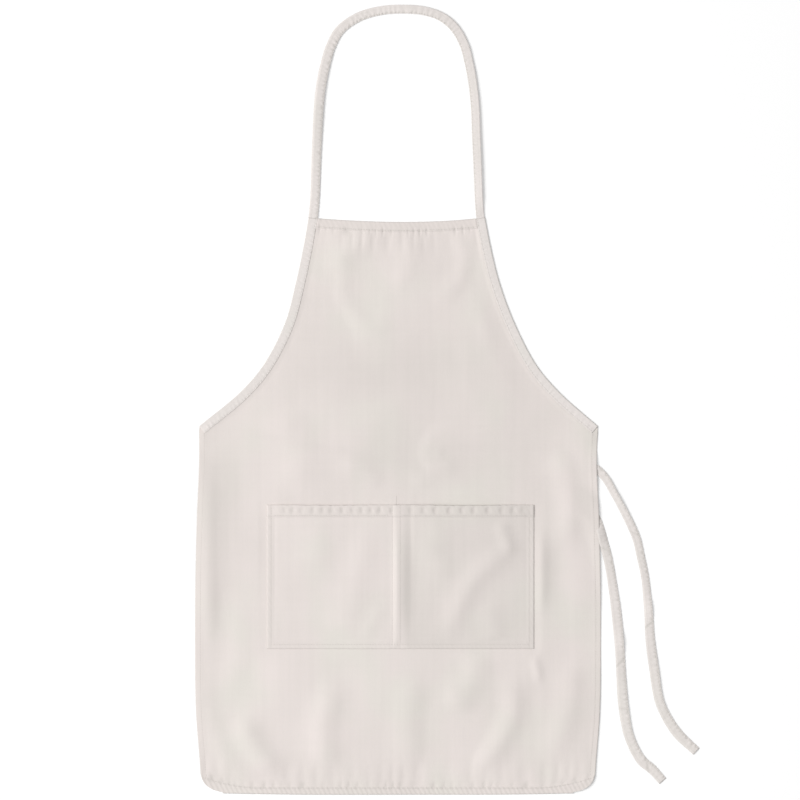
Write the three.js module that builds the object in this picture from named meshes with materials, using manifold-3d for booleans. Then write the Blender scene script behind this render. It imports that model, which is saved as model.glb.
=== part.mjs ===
// Artist's bib apron with a neck loop, two ties and a divided front pocket, laid flat with its front up.
// Millimetres. +X is the right side as seen, +Y runs up towards the neck loop, +Z is out of the cloth.
// Z = 0 is the surface that the apron lies on; X = 0 and Y = 0 are the middle of its length and width.
import * as THREE from 'three';
import { mergeVertices } from 'three/addons/utils/BufferGeometryUtils.js';
import Module from 'manifold-3d';

const wasm = await Module();
wasm.setup();

// ---- Driving dimensions -------------------------------------------------------------------------

const halfLength = 487.6; // half of the laid length, bottom hem to the top of the neck loop
const halfWidth = 250.5; // half of the widest part, near the pocket
const bibTop = 224.6; // height of the bib's top corners
const bibHalfWidth = 108.8; // half of the bib's width, over its bindings
const bibSag = 5.4; // how far the bib's top edge dips between its corners
const sideCorner = -33; // height of the corners where the armholes meet the sides
const sideCornerHalfWidth = 245.5;
const lowerHalfWidth = 244; // half of the width just above the bottom corners

const clothPly = 0.5; // one layer of the apron's cotton twill
const hemPlies = 3; // a hem is the cloth turned twice
const sideHemWidth = 8;
const bibHemWidth = 12;
const hemStitchInset = 1.5; // from a hem's inner edge to its row of stitches

const tapePly = 0.4; // one layer of the folded binding tape
const bindingWidth = 11;
const strapWidth = 11;
const tieWidth = 10.5;
const foldedTapePlies = 4;

const pocketLeft = -162;
const pocketWidth = 330;
const pocketTop = -129.9;
const pocketHeight = 178;
const pocketFlange = 8; // width of the pocket's turned edge, sewn flat to the apron
const pocketEdgePlies = 2;
const pocketDepth = 5.6; // room for a hand or a brush between the pocket and the apron
const pocketSlope = 5; // how far the pocket's sides lean in over that depth
const pocketHemWidth = 14.7;
const pocketHemPlies = 3;
const dividerX = -2; // the middle of the sewn strip between the two compartments
const dividerWidth = 15;
const dividerStitchSpacing = 9.5;
const pocketStitchInset = 5.5;
const tackLength = 11;
const tackWidth = 1.6;

const threadWidth = 0.8;
const threadHeight = 0.3;

const clearance = 0.3; // between two pieces that lie against each other
const foldRoom = 0.3; // from the panel's raw edge to the inside of the binding's fold
const foldLineRoom = 0.4; // from the fold line to the end of the strap

const clothColour = 0xe8e1db;
const tapeColour = 0xe6dfd8;
const threadColour = 0xdfd6cd;
const clothRoughness = 0.92;
const threadRoughness = 0.8;

// ---- Heights that follow from them --------------------------------------------------------------

const hemTop = hemPlies * clothPly;
const tapeThickness = foldedTapePlies * tapePly;
const flange = 2 * tapePly; // each side of the binding is two layers of tape
const rimLow = flange + clearance; // the panel's edge stands in the binding's slot
const rimHigh = rimLow + clothPly;
const slotHigh = rimHigh + clearance;
const bindingTop = slotHigh + flange;
const rawEdge = tapePly * 2 + foldRoom;
const riserStart = bindingWidth + clearance;
const riserEnd = riserStart + clothPly;
const tieRoof = tapeThickness + clearance; // underside of the cloth where it passes over a tie
const ridgeTop = tieRoof + clothPly;
const hemRidgeTop = tieRoof + hemTop;
const pocketFlangeTop = clothPly + pocketEdgePlies * clothPly;
const pocketRoof = clothPly + pocketDepth;
const pocketFront = pocketRoof + clothPly;
const pocketHemRoof = pocketRoof - (pocketHemPlies - 1) * clothPly;
const bibHeight = bibTop - sideCorner;
const bibSlant = sideCornerHalfWidth - bibHalfWidth;
const skirtHeight = sideCorner + halfLength;
const above = 30; // tall enough to pass through everything
const below = -5;
const overcut = 3; // how far a band runs past an edge that then trims it

// ---- Curves, each as points along it ------------------------------------------------------------

const point = (x, y) => new THREE.Vector2(x, y);

/** A smooth line through the given points, with evenly spaced steps. */
function smooth(points, steps) {
  const places = points.map(([x, y]) => new THREE.Vector3(x, y, 0));
  const curve = new THREE.CatmullRomCurve3(places, false, 'centripetal');
  return curve.getSpacedPoints(steps).map((p) => point(p.x, p.y));
}

/** Unit normals to the left of a line of points. */
function leftNormals(line) {
  return line.map((_, i) => {
    const before = line[Math.max(i - 1, 0)];
    const after = line[Math.min(i + 1, line.length - 1)];
    const along = after.clone().sub(before).normalize();
    return point(-along.y, along.x);
  });
}

/** The line moved sideways to its left. */
function shifted(line, distance) {
  const normals = leftNormals(line);
  return line.map((p, i) => p.clone().addScaledVector(normals[i], distance));
}

/** The line carried on straight at both of its ends. */
function extended(line, run) {
  const first = line[0].clone().sub(line[1]).setLength(run).add(line[0]);
  const last = line.at(-1).clone().sub(line.at(-2)).setLength(run).add(line.at(-1));
  return [first, ...line, last];
}

// The armhole's points are shares of its slant and height, from the bib down to the side corner.
function armholePoint(side, out, down) {
  return [side * (bibHalfWidth + bibSlant * out), bibTop - bibHeight * down];
}
function armholeLine(side, shape) {
  return smooth(shape.map(([out, down]) => armholePoint(side, out, down)), 28);
}
const leftShape = [[0, 0], [0.05, 0.15], [0.115, 0.31], [0.215, 0.505], [0.41, 0.705], [0.62, 0.835], [1, 1]];
const rightShape = [
  [-0.005, 0], [0.05, 0.15], [0.125, 0.31], [0.26, 0.505], [0.455, 0.705], [0.66, 0.835], [1.01, 1],
];
const leftArmhole = armholeLine(-1, leftShape);
const rightArmhole = armholeLine(1, rightShape).reverse();

// Down one side, round the bottom corners and up the other side.
// A side's points are shares of the difference in width and of the height below the side corner.
const spreadingSide = [[0.012, 0.1], [0.55, 0.25], [0.9, 0.42], [1, 0.6]];
const taperingSide = [[0.8, 0.78], [0.1, 0.91], [0, 0.935]];
const bottomCorner = 24; // how far the bottom corners' curves reach in from the sides
const cornerRise = 5; // the bottom edge bows down by this much between its corners
function sideLine(side, armholeEnd) {
  const place = (from, [out, down]) => (
    [side * (from + (halfWidth - from) * out), sideCorner - skirtHeight * down]);
  const upper = spreadingSide.map((share) => place(sideCornerHalfWidth, share));
  const lower = taperingSide.map((share) => place(lowerHalfWidth, share));
  const [endOut] = armholeEnd;
  const [x, y] = armholePoint(side, endOut, 1);
  return smooth([[x + side * 0.6, y - 3], ...upper, ...lower], 22);
}
function cornerLine(side, start) {
  const turn = point(side * (lowerHalfWidth - 1), -halfLength + cornerRise);
  const end = point(side * (lowerHalfWidth - bottomCorner - 4), -halfLength + cornerRise * 0.3);
  return new THREE.QuadraticBezierCurve(start, turn, end).getSpacedPoints(7);
}
const bottomEnd = lowerHalfWidth - bottomCorner - 4;
const bottomLow = halfLength - cornerRise * 0.3;
const bottomMiddle = [-120, 0, 120].map((x) => [x, -halfLength]);
const bottomLine = smooth([[-bottomEnd, -bottomLow], ...bottomMiddle, [bottomEnd, -bottomLow]], 14);
const leftSide = sideLine(-1, leftShape.at(-1));
const rightSide = sideLine(1, rightShape.at(-1));
const skirtLeft = [...leftSide, ...cornerLine(-1, leftSide.at(-1)).slice(1)];
const skirtRight = [...rightSide, ...cornerLine(1, rightSide.at(-1)).slice(1)].reverse();
const skirt = [...skirtLeft, ...bottomLine.slice(1, -1), ...skirtRight];

const leftRawEdge = shifted(leftArmhole, rawEdge);
const rightRawEdge = shifted(rightArmhole, rawEdge);
const bibDips = [[60, 0.75], [0, 1], [-60, 0.65]].map(([x, share]) => [x, bibTop - bibSag * share]);
const bibEdge = smooth([rightRawEdge.at(-1).toArray(), ...bibDips, leftRawEdge[0].toArray()], 14);
const outline = [...leftRawEdge, ...skirt, ...rightRawEdge, ...bibEdge.slice(1, -1)];

const loopHeight = halfLength - strapWidth / 2 - bibTop; // from the fold line to the strap's middle at the top
const loopShape = [
  [-103.2, 0], [-100.8, 0.14], [-98.2, 0.37], [-94.6, 0.56], [-89, 0.705], [-79.5, 0.845], [-63.5, 0.92],
  [-38, 0.973], [0, 1], [38, 0.98], [63.5, 0.932], [79.5, 0.852], [89, 0.725], [95, 0.575], [98.7, 0.39],
  [100.3, 0.155], [102.2, 0],
];
const loopStart = bibTop + foldLineRoom;
const neckLine = smooth(
  loopShape.map(([x, up]) => [x, loopStart + (loopHeight - foldLineRoom) * up]),
  64,
);

// The ties' routes: from behind each side corner, across the back, out past the right edge and down.
const tieMiddle = tapeThickness / 2;
const tieSteps = 80;
const rightTieRoute = [
  [230, -44], [200, -46.5], [160, -46], [110, -45], [72, -45], [50, -51], [42, -66], [50, -81], [72, -87],
  [110, -87], [160, -85], [200, -82], [228, -82], [243, -84.5], [256, -97], [266, -114.5], [278, -136.4],
  [294, -169.8], [300, -194.5], [305.6, -220.4], [310.5, -266], [312.4, -297], [316.7, -330.3],
  [323.5, -369.8], [332, -389.5], [346.6, -411.8], [369, -434],
];
const leftTieRoute = [
  [-232, -47], [-205, -52], [-160, -61], [-110, -71], [-60, -81], [0, -92], [60, -102], [110, -108.5], [160, -114],
  [200, -120], [226, -128], [242, -142], [250, -161], [255, -180], [260, -199], [265.5, -229], [271, -266],
  [274.7, -309], [277, -346], [280, -379.7], [287, -416.7], [301, -445], [313.6, -456], [327, -471],
];
const flatRoute = (route) => smooth(route, tieSteps);

// ---- Solids -------------------------------------------------------------------------------------

/** A closed three.js geometry as a manifold solid. */
function toSolid(geometry) {
  const bare = geometry.clone();
  bare.deleteAttribute('normal');
  bare.deleteAttribute('uv');
  const merged = mergeVertices(bare, 1e-5);
  return new wasm.Manifold(new wasm.Mesh({
    numProp: 3,
    vertProperties: new Float32Array(merged.attributes.position.array),
    triVerts: new Uint32Array(merged.index.array),
  }));
}

/** A manifold solid as a three.js geometry. */
function toGeometry(solid) {
  const mesh = solid.getMesh();
  const geometry = new THREE.BufferGeometry();
  geometry.setAttribute('position', new THREE.BufferAttribute(new Float32Array(mesh.vertProperties), 3));
  geometry.setIndex(new THREE.BufferAttribute(new Uint32Array(mesh.triVerts), 1));
  geometry.computeVertexNormals();
  return geometry;
}

/** A flat outline raised from one height to another. */
function prism(loop, low, high) {
  const shape = new THREE.Shape(loop);
  const geometry = new THREE.ExtrudeGeometry(shape, { depth: high - low, bevelEnabled: false });
  return toSolid(geometry.translate(0, 0, low));
}

/** A band beside a line, between two distances to its left, raised from one height to another. */
function strip(line, from, to, low, high) {
  return prism([...shifted(line, from), ...shifted(line, to).reverse()], low, high);
}

/** A row of stitches: a band one thread wide, its middle at a distance to the left of a line. */
function stitchRow(line, inset, low, high = low + threadHeight) {
  return strip(line, inset - threadWidth / 2, inset + threadWidth / 2, low, high);
}

/** A block whose sides lean in towards its top, except the side at its high Y, where it is cut square. */
function leaningBlock(left, right, bottom, top, low, high, lean) {
  const geometry = new THREE.BoxGeometry(1, 1, 1);
  const corners = geometry.attributes.position;
  for (let i = 0; i < corners.count; i += 1) {
    const up = corners.getZ(i) > 0;
    const inward = up ? lean : 0;
    const x = corners.getX(i) > 0 ? right - inward : left + inward;
    const y = corners.getY(i) > 0 ? top : bottom + inward;
    corners.setXYZ(i, x, y, up ? high : low);
  }
  return toSolid(geometry);
}

/** A straight-sided block between two corners. */
function block(left, right, bottom, top, low, high) {
  return leaningBlock(left, right, bottom, top, low, high, 0);
}

// ---- The ties' tunnels in the cloth above them --------------------------------------------------

const tieLines = [leftTieRoute, rightTieRoute].map(flatRoute);

/** The ties' routes widened on both sides by a margin, joined into one solid. */
function overTies(margin, low, high) {
  const reach = tieWidth / 2 + margin;
  const bands = tieLines.map((line) => strip(extended(line, margin), -reach, reach, low, high));
  return bands[0].add(bands[1]);
}

const outlineColumn = prism(outline, below, above);
const tunnelWall = clearance + clothPly;

// ---- Body panel ---------------------------------------------------------------------------------

/** The apron's panel with its hems, raised over the ties and stepped up into the bindings. */
function makeBodyPanel() {
  const bibHem = strip(bibEdge, -overcut, bibHemWidth, 0, hemTop);
  const hems = strip(skirt, -overcut, sideHemWidth, 0, hemTop).add(bibHem);
  const hemColumn = strip(skirt, -overcut, sideHemWidth, below, above);
  const ridges = overTies(tunnelWall, 0, ridgeTop);
  const hemRidges = overTies(tunnelWall, 0, hemRidgeTop).intersect(hemColumn);
  const tunnels = overTies(clearance, below, tieRoof);
  let panel = prism(outline, 0, clothPly).add(hems.intersect(outlineColumn));
  panel = panel.add(ridges.add(hemRidges).intersect(outlineColumn)).subtract(tunnels);
  for (const armhole of [leftArmhole, rightArmhole]) {
    const edge = extended(armhole, 6);
    const riser = strip(edge, riserStart, riserEnd, 0, rimHigh);
    const rim = strip(edge, rawEdge - overcut, riserEnd, rimLow, rimHigh);
    panel = panel.subtract(strip(edge, -overcut, riserEnd - clothPly / 2, below, above));
    panel = panel.add(riser.add(rim).intersect(outlineColumn));
  }
  return panel;
}

/** The folded tape round an armhole's edge: a spine and two flanges with the panel's edge between. */
function makeBinding(armhole) {
  const whole = strip(armhole, 0, bindingWidth, 0, bindingTop);
  const slot = strip(extended(armhole, 2), rawEdge - foldRoom, bindingWidth + 2, flange, slotHigh);
  return whole.subtract(slot);
}

/** A tie: flat folded tape carried along its route. */
function makeTie(route) {
  const path = new THREE.CatmullRomCurve3(
    route.map(([x, y]) => new THREE.Vector3(x, y, tieMiddle)),
    false,
    'centripetal',
  );
  const side = tieWidth / 2;
  const top = tapeThickness / 2;
  const soft = tapeThickness / 4; // the tape's rounded edge
  const section = new THREE.Shape([
    point(top, side - soft), point(top - soft, side), point(soft - top, side), point(-top, side - soft),
    point(-top, soft - side), point(soft - top, -side), point(top - soft, -side), point(top, soft - side),
  ]);
  return new THREE.ExtrudeGeometry(section, { steps: tieSteps, bevelEnabled: false, extrudePath: path });
}

// ---- Pocket -------------------------------------------------------------------------------------

const pocketRight = pocketLeft + pocketWidth;
const pocketBottom = pocketTop - pocketHeight;
const compartments = [
  [pocketLeft + pocketFlange, dividerX - dividerWidth / 2],
  [dividerX + dividerWidth / 2, pocketRight - pocketFlange],
];

/** The pocket: a flange sewn to the apron, and two compartments that stand off it, open at the top. */
function makePocket() {
  const floor = pocketBottom + pocketFlange;
  const wall = clothPly * 1.4; // a leaning wall measured along the cloth it stands on
  const lean = pocketSlope / (pocketFront - clothPly);
  let pocket = block(pocketLeft, pocketRight, pocketBottom, pocketTop, clothPly, pocketFlangeTop);
  for (const [left, right] of compartments) {
    pocket = pocket.add(leaningBlock(left, right, floor, pocketTop, clothPly, pocketFront, pocketSlope));
  }
  for (const [left, right] of compartments) {
    const roofs = [[pocketTop - pocketHemWidth, pocketRoof], [pocketTop + pocketFlange, pocketHemRoof]];
    for (const [end, roof] of roofs) {
      const depth = roof - below;
      const slack = lean * (clothPly - below); // the walls carried on below the cloth
      pocket = pocket.subtract(leaningBlock(
        left + wall - slack, right - wall + slack, floor + wall - slack, end, below, roof, lean * depth,
      ));
    }
  }
  return pocket;
}

// ---- Stitching ----------------------------------------------------------------------------------

/** A hem's row of stitches, stepping up over the ties where they pass under it. */
function hemStitches(line) {
  const inset = sideHemWidth - hemStitchInset;
  const flat = stitchRow(line, inset, hemTop);
  const stepped = stitchRow(line, inset, hemTop, hemRidgeTop + threadHeight);
  const onRidge = stepped.intersect(overTies(tunnelWall + clearance + threadHeight, below, above));
  return flat.add(onRidge).subtract(overTies(tunnelWall + clearance, below, hemRidgeTop));
}

const straight = (x0, y0, x1, y1) => [point(x0, y0), point((x0 + x1) / 2, (y0 + y1) / 2), point(x1, y1)];

/** One row of stitches down the pocket's side, along its bottom and up its other side. */
function pocketEdgeStitches() {
  const corners = (inset) => {
    const left = pocketLeft + inset;
    const right = pocketRight - inset;
    const bottom = pocketBottom + inset;
    const top = pocketTop - 1;
    return [point(left, top), point(left, bottom), point(right, bottom), point(right, top)];
  };
  const outer = corners(pocketStitchInset - threadWidth / 2);
  const inner = corners(pocketStitchInset + threadWidth / 2);
  return prism([...outer, ...inner.reverse()], pocketFlangeTop, pocketFlangeTop + threadHeight);
}

/** A straight row of stitches beside the strip between the compartments. */
function dividerStitches(side) {
  const x = dividerX + side * dividerStitchSpacing / 2;
  return stitchRow(straight(x, pocketBottom + 9, x, pocketTop - 1), 0, pocketFlangeTop);
}

/** A row of stitches across the pocket's hem, on one compartment. */
function pocketHemStitches(left, right) {
  const y = pocketTop - pocketHemWidth + hemStitchInset;
  return stitchRow(straight(left + pocketSlope + 1, y, right - pocketSlope - 1, y), 0, pocketFront);
}

// ---- Assembly -----------------------------------------------------------------------------------

const matt = (color, roughness) => new THREE.MeshStandardMaterial({ color, roughness, metalness: 0 });
const cloth = () => matt(clothColour, clothRoughness);
const tape = () => matt(tapeColour, clothRoughness);
const thread = () => matt(threadColour, threadRoughness);

const apron = new THREE.Group();

function addPiece(name, shape, material) {
  const geometry = shape.isBufferGeometry ? shape : toGeometry(shape);
  const piece = new THREE.Mesh(geometry, material);
  piece.name = name;
  apron.add(piece);
}

addPiece('body_panel', makeBodyPanel(), cloth());
addPiece('pocket_panel', makePocket(), cloth());
addPiece('binding_left', makeBinding(leftArmhole), tape());
addPiece('binding_right', makeBinding(rightArmhole), tape());
addPiece('neck_strap', strip(neckLine, -strapWidth / 2, strapWidth / 2, 0, tapeThickness), tape());
addPiece('tie_left', makeTie(leftTieRoute), tape());
addPiece('tie_right', makeTie(rightTieRoute), tape());

const bindingStitchInset = bindingWidth - hemStitchInset;
const bibStitchLine = bibEdge.slice(2, -2);
addPiece('bib_hem_stitching', stitchRow(bibStitchLine, bibHemWidth - hemStitchInset, hemTop), thread());
addPiece('side_hem_stitching_left', hemStitches(skirtLeft.slice(2, -9)), thread());
addPiece('side_hem_stitching_right', hemStitches(skirtRight.slice(9, -2)), thread());
addPiece('bottom_hem_stitching', hemStitches(skirt.slice(22, -22)), thread());
addPiece('binding_stitching_left', stitchRow(leftArmhole, bindingStitchInset, bindingTop), thread());
addPiece('binding_stitching_right', stitchRow(rightArmhole, bindingStitchInset, bindingTop), thread());
const strapStitchInset = hemStitchInset - strapWidth / 2;
addPiece('neck_strap_stitching', stitchRow(neckLine, strapStitchInset, tapeThickness), thread());
addPiece('pocket_hem_stitching_left', pocketHemStitches(...compartments[0]), thread());
addPiece('pocket_hem_stitching_right', pocketHemStitches(...compartments[1]), thread());
addPiece('pocket_edge_stitching', pocketEdgeStitches(), thread());
addPiece('pocket_divider_stitching_left', dividerStitches(-1), thread());
addPiece('pocket_divider_stitching_right', dividerStitches(1), thread());
const tackBottom = pocketTop + clearance;
addPiece('pocket_divider_tack', block(
  dividerX - tackWidth / 2, dividerX + tackWidth / 2, tackBottom, tackBottom + tackLength,
  clothPly, clothPly + threadHeight,
), thread());

export default apron;
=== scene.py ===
"""Artist's bib apron in natural cotton twill, laid flat: panel, divided pocket, bound armholes, neck loop
and ties.

Metres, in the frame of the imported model: +X to the right, +Y towards the neck loop, +Z out of the cloth.
"""
import math

import bpy
import numpy as np
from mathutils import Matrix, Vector


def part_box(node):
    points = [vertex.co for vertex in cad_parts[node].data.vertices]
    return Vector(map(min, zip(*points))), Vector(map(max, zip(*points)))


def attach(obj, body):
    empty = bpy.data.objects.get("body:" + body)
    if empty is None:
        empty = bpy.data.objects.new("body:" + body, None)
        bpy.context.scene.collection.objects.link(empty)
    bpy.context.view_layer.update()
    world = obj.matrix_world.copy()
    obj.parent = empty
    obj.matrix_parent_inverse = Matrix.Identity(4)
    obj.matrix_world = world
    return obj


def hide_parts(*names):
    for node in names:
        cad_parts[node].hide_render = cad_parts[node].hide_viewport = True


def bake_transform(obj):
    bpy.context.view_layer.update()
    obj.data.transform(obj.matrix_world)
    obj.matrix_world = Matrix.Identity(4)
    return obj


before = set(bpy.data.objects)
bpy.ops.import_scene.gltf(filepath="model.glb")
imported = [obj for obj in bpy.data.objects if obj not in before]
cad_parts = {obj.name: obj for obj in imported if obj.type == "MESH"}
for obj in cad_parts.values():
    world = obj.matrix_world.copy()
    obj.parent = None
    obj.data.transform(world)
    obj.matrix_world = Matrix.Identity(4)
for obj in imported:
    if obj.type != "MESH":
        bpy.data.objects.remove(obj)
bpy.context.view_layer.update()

# ---- Sizes ----

MM = 0.001
panel_low, panel_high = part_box("body_panel")
binding_low, binding_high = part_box("binding_left")
pocket_low, pocket_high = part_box("pocket_panel")
loop_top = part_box("neck_strap")[1].y

half_width = panel_high.x
bottom_edge = panel_low.y
bib_top = binding_high.y
side_corner = -33 * MM
corner_half_width = -binding_low.x
bib_left = 110.4 * MM
bib_right = 108.2 * MM
bib_sag = 5.4 * MM
lower_half_width = 244 * MM
corner_reach = 24 * MM  # how far the rounded bottom corners reach in
bottom_bow = 5 * MM

cloth_thick = 0.55 * MM
hem_extra = 0.9 * MM  # two more layers of cloth, pressed flat
side_hem = 8 * MM
bib_hem = 12 * MM
hem_seam_in = 1.6 * MM  # the hems' stitches, out from the hems' inner folds
bottom_seam_up = 8 * MM
seam_reach = 0.9 * MM  # how far the dip along a row of stitches reaches to each side
tape_width = 11 * MM
tape_thick = 0.45 * MM  # one side of the binding, two layers of tape
binding_sewn = 9.5 * MM  # the bindings' stitches, in from the armhole's edge
sewn_share = 0.76  # where the other tapes' stitches lie, as a share of half the tape's width
strap_width = 11.5 * MM
strap_thick = 1.5 * MM
tie_width = 10.5 * MM
tie_thick = 1.15 * MM
stitch_length = 2.5 * MM
stitch_pitch = 3.3 * MM
thread_wide = 0.62 * MM
thread_high = 0.3 * MM
line_step = 2 * MM  # between the points of the outlines
row_step = 1 * MM  # between the points of the rows of stitches


# ---- Lines ----

def smooth_line(points, spacing=line_step):
    """A line through given points: a cubic between each pair whose slopes come from the neighbours and
    whose time runs as the square root of distance, then evened out to equal steps along its length."""
    p = np.array(points, float)
    p = np.vstack([2 * p[0] - p[1], p, 2 * p[-1] - p[-2]])
    gap = np.sqrt(np.linalg.norm(np.diff(p, axis=0), axis=1))[:, None]
    leave = np.diff(p, axis=0) / gap
    across = (p[2:] - p[:-2]) / (gap[1:] + gap[:-1])
    slope = leave[:-1] - across + leave[1:]
    a, b, span = p[1:-2, None], p[2:-1, None], gap[1:-1, None]
    t = np.linspace(0, 1, 24, endpoint=False)[None, :, None]
    line = ((2 * t**3 - 3 * t**2 + 1) * a + (t**3 - 2 * t**2 + t) * span * slope[:-1, None]
            + (3 * t**2 - 2 * t**3) * b + (t**3 - t**2) * span * slope[1:, None])
    return even_steps(np.vstack([line.reshape(-1, p.shape[1]), p[-2]]), spacing)


def travelled(line):
    """Distance along a line at each of its points."""
    return np.concatenate([[0], np.cumsum(np.linalg.norm(np.diff(line, axis=0), axis=1))])


def even_steps(line, spacing=row_step):
    """The same line with points at equal distances, no further apart than the spacing."""
    s = travelled(line)
    at = np.linspace(0, s[-1], max(2, int(math.ceil(s[-1] / spacing)) + 1))
    return np.stack([np.interp(at, s, line[:, i]) for i in range(line.shape[1])], 1)


def left_of(line):
    """Unit vectors to the left of a line, seen from above."""
    along = np.gradient(line[:, :2], axis=0)
    along /= np.linalg.norm(along, axis=1)[:, None]
    return np.stack([-along[:, 1], along[:, 0]], 1)


def shifted(line, distance):
    """The line moved to its left by a distance."""
    return line[:, :2] + left_of(line) * distance


def distance_to(x, y, line, reach=8):
    """Distance from each place to a line, and how far along it the nearest point lies. The nearest of every
    eighth point is found first, and then the nearest of the pieces of line beside it."""
    flat = np.stack([np.ravel(x), np.ravel(y)], 1)
    start, run = line[:-1, :2], np.diff(line[:, :2], axis=0)
    squared = (run**2).sum(1)
    s = travelled(line[:, :2])
    best = np.empty(len(flat))
    along = np.empty(len(flat))
    for first in range(0, len(flat), 20000):
        places = flat[first:first + 20000]
        coarse = ((places[:, None] - line[None, ::reach, :2]) ** 2).sum(2).argmin(1) * reach
        near = np.clip(coarse[:, None] + np.arange(-reach, reach), 0, len(run) - 1)
        q = places[:, None] - start[near]
        t = np.clip((q * run[near]).sum(2) / squared[near], 0, 1)
        gap = ((q - t[..., None] * run[near]) ** 2).sum(2)
        pick = gap.argmin(1)
        rows = np.arange(len(places))
        chosen = near[rows, pick]
        best[first:first + 20000] = np.sqrt(gap[rows, pick])
        along[first:first + 20000] = s[chosen] + t[rows, pick] * np.sqrt(squared[chosen])
    return best.reshape(np.shape(x)), along.reshape(np.shape(x))


def ease(value, low, high):
    """0 below low, 1 above high, and a smooth S between."""
    t = np.clip((value - low) / (high - low), 0, 1)
    return t * t * (3 - 2 * t)


def bell(value, width, power=2):
    """1 where a value is nought, falling away on both sides: e to minus a power of the value over a width."""
    return np.exp(-((value / width) ** power))


def quarter_round(gap, reach):
    """A quarter circle's rise: 0 at no gap, and 1 from the reach on."""
    t = np.clip(gap / reach, 0, 1)
    return np.sqrt(1 - (1 - t) ** 2)


# The armholes, from the bib's corner to the side corner, as shares of the armhole's width and height.
LEFT_ARMHOLE = [(0, 0), (0.05, 0.15), (0.115, 0.31), (0.215, 0.505), (0.41, 0.705), (0.62, 0.835), (1, 1)]
RIGHT_ARMHOLE = [
    (-0.005, 0), (0.05, 0.15), (0.125, 0.31), (0.26, 0.505), (0.455, 0.705), (0.66, 0.835), (1.01, 1),
]
# The side edges, spreading and then tapering: shares of the way out to the full width, and of the way down.
SPREADING_SIDE = [(0.012, 0.1), (0.55, 0.25), (0.9, 0.42), (1, 0.6)]
TAPERING_SIDE = [(0.8, 0.78), (0.1, 0.91), (0, 0.935)]
# The bib's dipped top: places across, and shares of the dip.
BIB_DIP = [(60 * MM, 0.75), (0, 1), (-60 * MM, 0.65)]
# The neck loop's middle line: millimetres across, and its height as a share of the loop's.
LOOP = [
    (-102.6, 0.09), (-101.2, 0.236), (-99.8, 0.383), (-97.8, 0.53), (-96, 0.604), (-93, 0.677), (-88.7, 0.75),
    (-83, 0.822), (-71.5, 0.9), (-48.3, 0.963), (-19.9, 0.994), (6.5, 1), (33, 0.991), (55, 0.96),
    (71, 0.905), (82.2, 0.824), (87.2, 0.75), (91, 0.677), (93.6, 0.604), (95.3, 0.53), (96.8, 0.383),
    (98.4, 0.236), (99.9, 0.09),
]


def armhole_line(side, bib_corner, shares):
    """One armhole's outer edge, from the bib down to the side corner."""
    wide, high = corner_half_width - bib_corner, bib_top - side_corner
    return smooth_line([(side * (bib_corner + wide * a), bib_top - high * b) for a, b in shares])


def side_points(side, inner, shares):
    """Points down one side edge, set across between an inner width and the full one."""
    high = side_corner - bottom_edge
    return [(side * (inner + (half_width - inner) * a), side_corner - high * b) for a, b in shares]


def side_line(side, corner):
    """One side edge from its top corner down to the start of the rounded bottom corner."""
    upper = side_points(side, corner_half_width, SPREADING_SIDE)
    lower = side_points(side, lower_half_width, TAPERING_SIDE)
    return smooth_line([(corner[0], corner[1] - 1 * MM)] + upper + lower)


def corner_line(side, start):
    """A bottom corner: one square-law curve from the side's end to the bottom edge."""
    t = np.linspace(0, 1, 24)[:, None]
    turn = np.array([side * (lower_half_width - 1 * MM), bottom_edge + bottom_bow])
    end = np.array([side * (lower_half_width - corner_reach - 4 * MM), bottom_edge + bottom_bow * 0.3])
    return (1 - t) ** 2 * start + 2 * t * (1 - t) * turn + t**2 * end


left_armhole = armhole_line(-1, bib_left, LEFT_ARMHOLE)
right_armhole = armhole_line(1, bib_right, RIGHT_ARMHOLE)[::-1]
left_side = side_line(-1, left_armhole[-1])
right_side = side_line(1, right_armhole[0])
left_corner = corner_line(-1, left_side[-1])
right_corner = corner_line(1, right_side[-1])
level_half = 0.12  # half the bottom edge's level part
bottom_points = [(x, bottom_edge) for x in (-level_half, 0, level_half)]
bottom_line = smooth_line([left_corner[-1]] + bottom_points + [right_corner[-1]])
skirt_parts = [left_side, left_corner[1:], bottom_line[1:], right_corner[::-1][1:], right_side[::-1][1:]]
skirt = even_steps(np.vstack(skirt_parts), line_step)
fold_room = 0.9 * MM  # from the binding's outer fold to the cloth's raw edge
left_raw = shifted(left_armhole, fold_room)
right_raw = shifted(right_armhole, fold_room)
bib_points = [(x, bib_top - bib_sag * dip) for x, dip in BIB_DIP]
bib_line = smooth_line([right_raw[-1]] + bib_points + [left_raw[0]])
loop_rise = loop_top - strap_width / 2 - bib_top
left_root = left_armhole[0] + left_of(left_armhole)[0] * tape_width / 2
right_root = right_armhole[-1] + left_of(right_armhole)[-1] * tape_width / 2
lead = 2.5 * MM  # how far the strap carries on straight from each binding
strap_points = [left_root, left_root + lead * (left_armhole[0] - left_armhole[2]) / (4 * MM)]
strap_points += [(x * MM, bib_top + loop_rise * up) for x, up in LOOP]
strap_points += [right_root + lead * (right_armhole[-1] - right_armhole[-3]) / (4 * MM), right_root]
neck_line = smooth_line(strap_points)

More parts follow.
